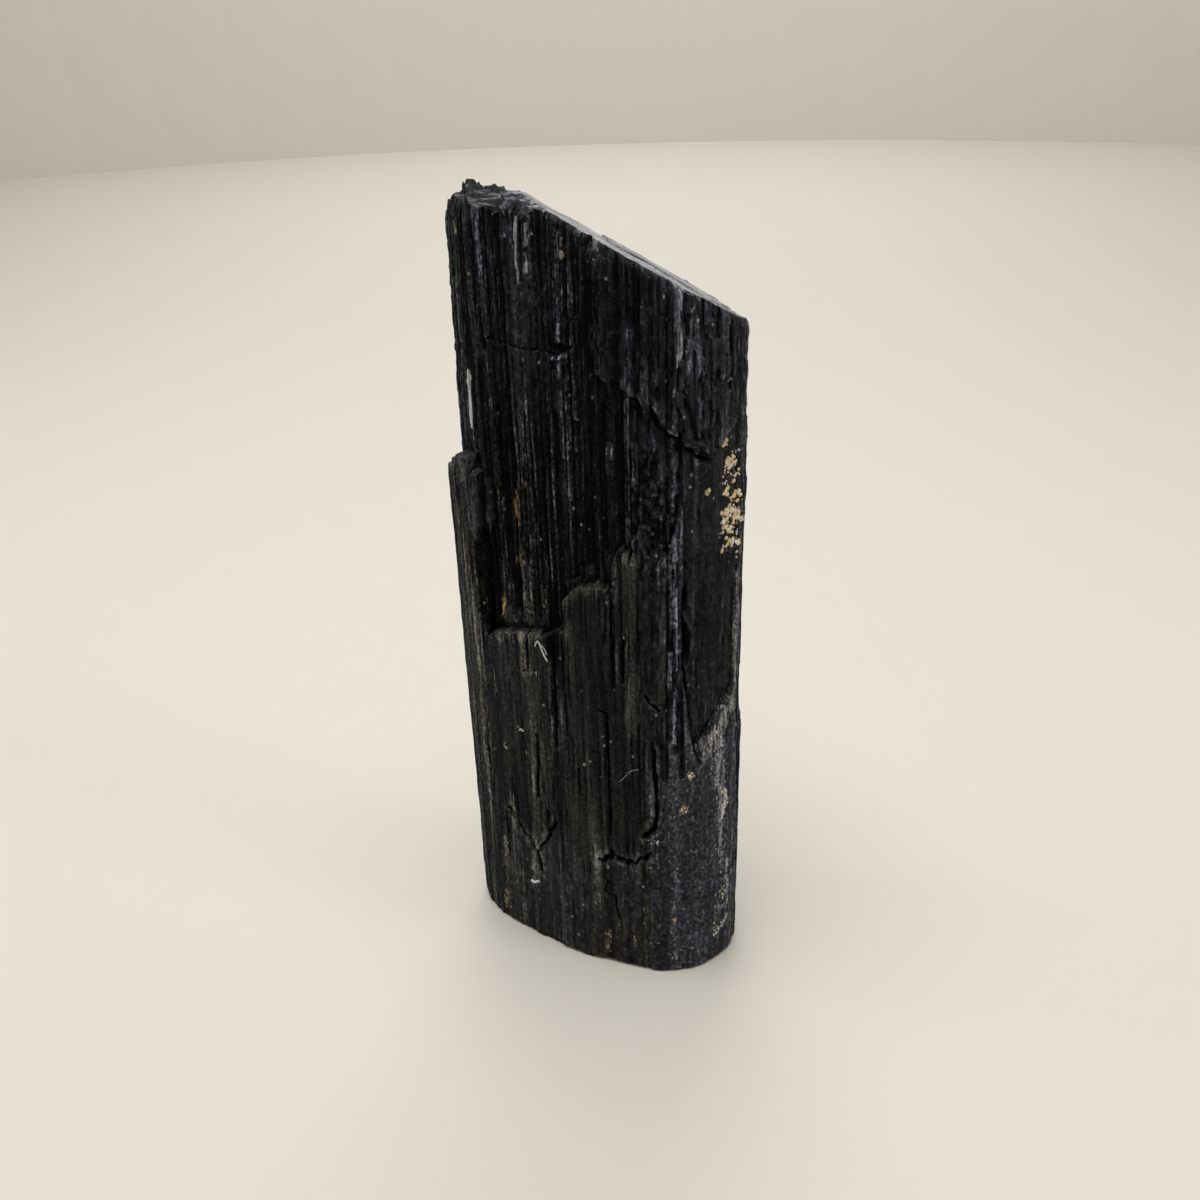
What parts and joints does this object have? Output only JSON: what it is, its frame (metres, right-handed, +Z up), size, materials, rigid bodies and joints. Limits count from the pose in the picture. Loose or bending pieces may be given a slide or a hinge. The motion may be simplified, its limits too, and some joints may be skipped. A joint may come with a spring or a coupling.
{
  "type": "black tourmaline crystal",
  "caption": "Upright log of black tourmaline: a striated prism of fused columns with a sloping broken end, standing on a flat foot.",
  "frame": {"origin": "centre of the flat foot, on the surface the crystal stands on", "axes": "+Z up along the crystal's columns, +X to the right along the broad front face, -Y towards the viewer of the front face"},
  "size_m": [0.0646, 0.0384, 0.173],
  "materials": {
    "tourmaline": "near-black glassy mineral, finely striated along its length, dull where broken, with a little pale crust"
  },
  "bodies": {
    "root": {"tourmaline_crystal": "tourmaline"}
  },
  "joints": []
}
